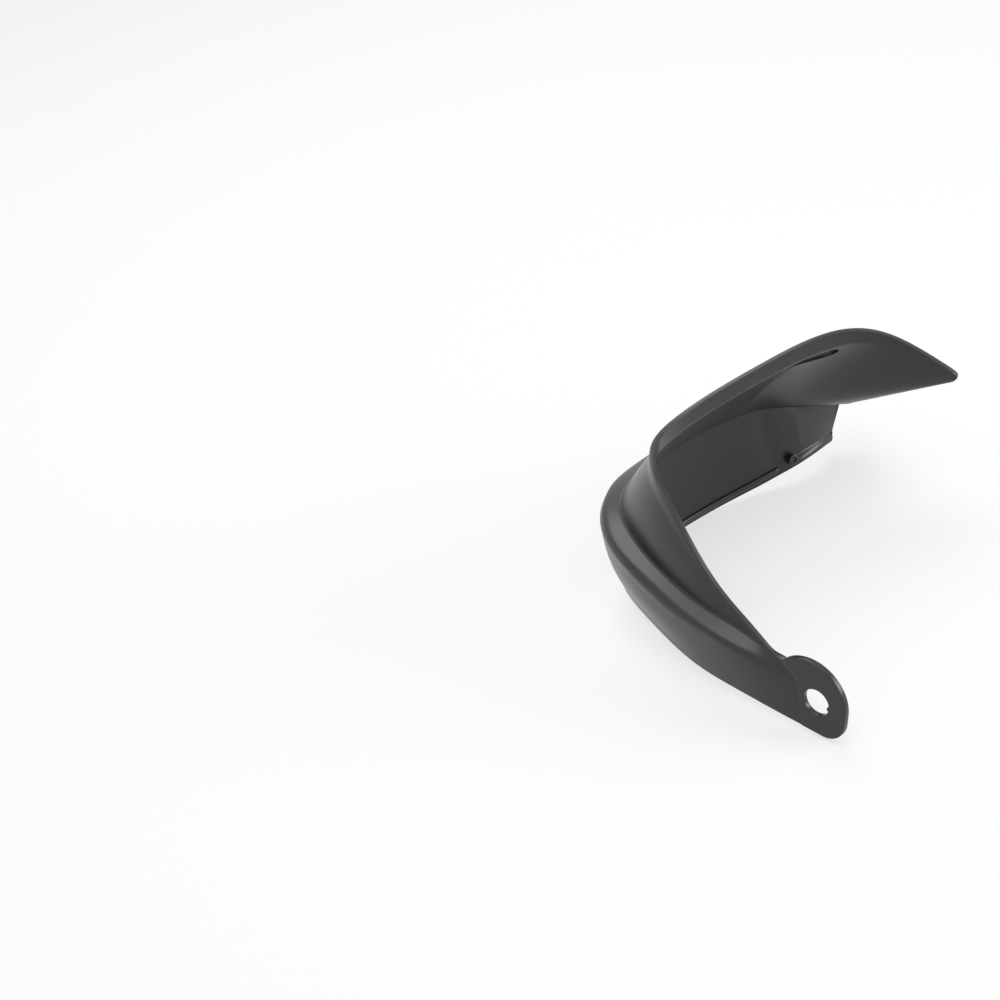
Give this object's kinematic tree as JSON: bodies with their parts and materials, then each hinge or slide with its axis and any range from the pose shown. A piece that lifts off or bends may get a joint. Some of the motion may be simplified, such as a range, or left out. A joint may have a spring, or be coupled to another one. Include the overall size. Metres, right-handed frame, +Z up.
{
  "type": "motorcycle hand guard",
  "caption": "Left-hand motorcycle hand guard: a thin moulded shell with a ledge, a leaning wind wall, a swept wing, a bar-end tab with a hole and an inner flange with a slot.",
  "frame": {"origin": "centre of the bar-end hole on the outer face of the tab", "axes": "+X along the bar-end bolt towards the middle of the motorcycle, +Y forwards, +Z up"},
  "size_m": [0.1875, 0.1576, 0.1065],
  "materials": {
    "black_plastic": "satin moulded polypropylene, fine grain"
  },
  "bodies": {
    "root": {"guard_shell": "black_plastic"}
  },
  "joints": []
}
